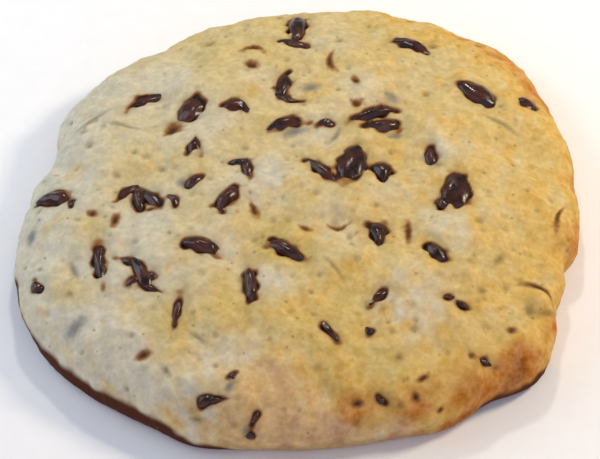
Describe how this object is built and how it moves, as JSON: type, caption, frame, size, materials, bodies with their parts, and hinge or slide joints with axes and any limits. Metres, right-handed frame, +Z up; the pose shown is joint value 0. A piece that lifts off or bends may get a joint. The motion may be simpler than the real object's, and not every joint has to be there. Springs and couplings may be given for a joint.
{
  "type": "chocolate chip cookie",
  "caption": "Thick soft round cookie of pale dough with small dark chocolate chips set in its lumpy top, flat underneath, resting on its base.",
  "frame": {"origin": "on the resting plane, under the middle of the cookie's box", "axes": "+Z up out of the top face, +X along the widest way across, -Y towards the front, the side that the picture looks from"},
  "size_m": [0.0845, 0.0843, 0.0135],
  "materials": {
    "dough": "matt baked dough, pale on top, browned at the edge and underneath",
    "chocolate": "dark chocolate with a soft gloss"
  },
  "bodies": {
    "root": {"cookie": "dough"}
  },
  "joints": []
}
